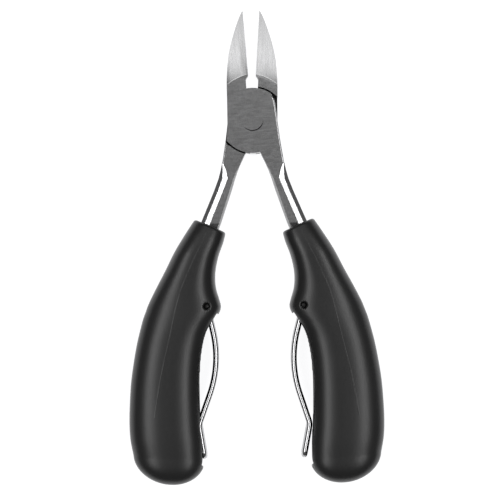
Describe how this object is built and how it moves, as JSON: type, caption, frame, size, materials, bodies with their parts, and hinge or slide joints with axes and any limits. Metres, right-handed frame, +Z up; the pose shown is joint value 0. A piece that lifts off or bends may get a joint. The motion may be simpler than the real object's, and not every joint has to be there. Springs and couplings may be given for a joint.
{
  "type": "toenail nipper",
  "caption": "Plier-style toenail nipper with crossed steel jaws on a flush rivet, contoured dark grips and a folding wire spring in each grip.",
  "frame": {"origin": "under the middle of the whole outline as the nipper lies open, on the surface the grips rest on", "axes": "+Y from the grips to the blade tips, +X from the left grip to the right grip, +Z up, along the pivot"},
  "size_m": [0.0866, 0.1602, 0.016],
  "materials": {
    "ground_steel": "satin forged faces with finely ground blades and polished chamfers",
    "rivet_steel": "ground flush with the head",
    "grip_plastic": "fine matte charcoal moulding",
    "spring_wire": "bright drawn wire"
  },
  "bodies": {
    "right_handle": {"front_half": "ground_steel", "pivot_rivet": "rivet_steel", "right_grip": "grip_plastic"},
    "left_handle": {"back_half": "ground_steel", "left_grip": "grip_plastic"},
    "right_spring": {"right_spring": "spring_wire"},
    "left_spring": {"left_spring": "spring_wire"}
  },
  "joints": [
    {"name": "jaw_pivot", "type": "hinge", "parent": "right_handle", "child": "left_handle", "pos_m": [0, 0.04284, 0.008], "axis": [0, 0, 1], "range_deg": [-12, 8.5]},
    {"name": "right_spring_swing", "type": "hinge", "parent": "right_handle", "child": "right_spring", "pos_m": [0.01633, -0.01962, 0.008], "axis": [0, 0, -1], "range_deg": [-2, 6.8]},
    {"name": "left_spring_swing", "type": "hinge", "parent": "left_handle", "child": "left_spring", "pos_m": [-0.01633, -0.01962, 0.008], "axis": [0, 0, 1], "range_deg": [0, 9.1]}
  ]
}
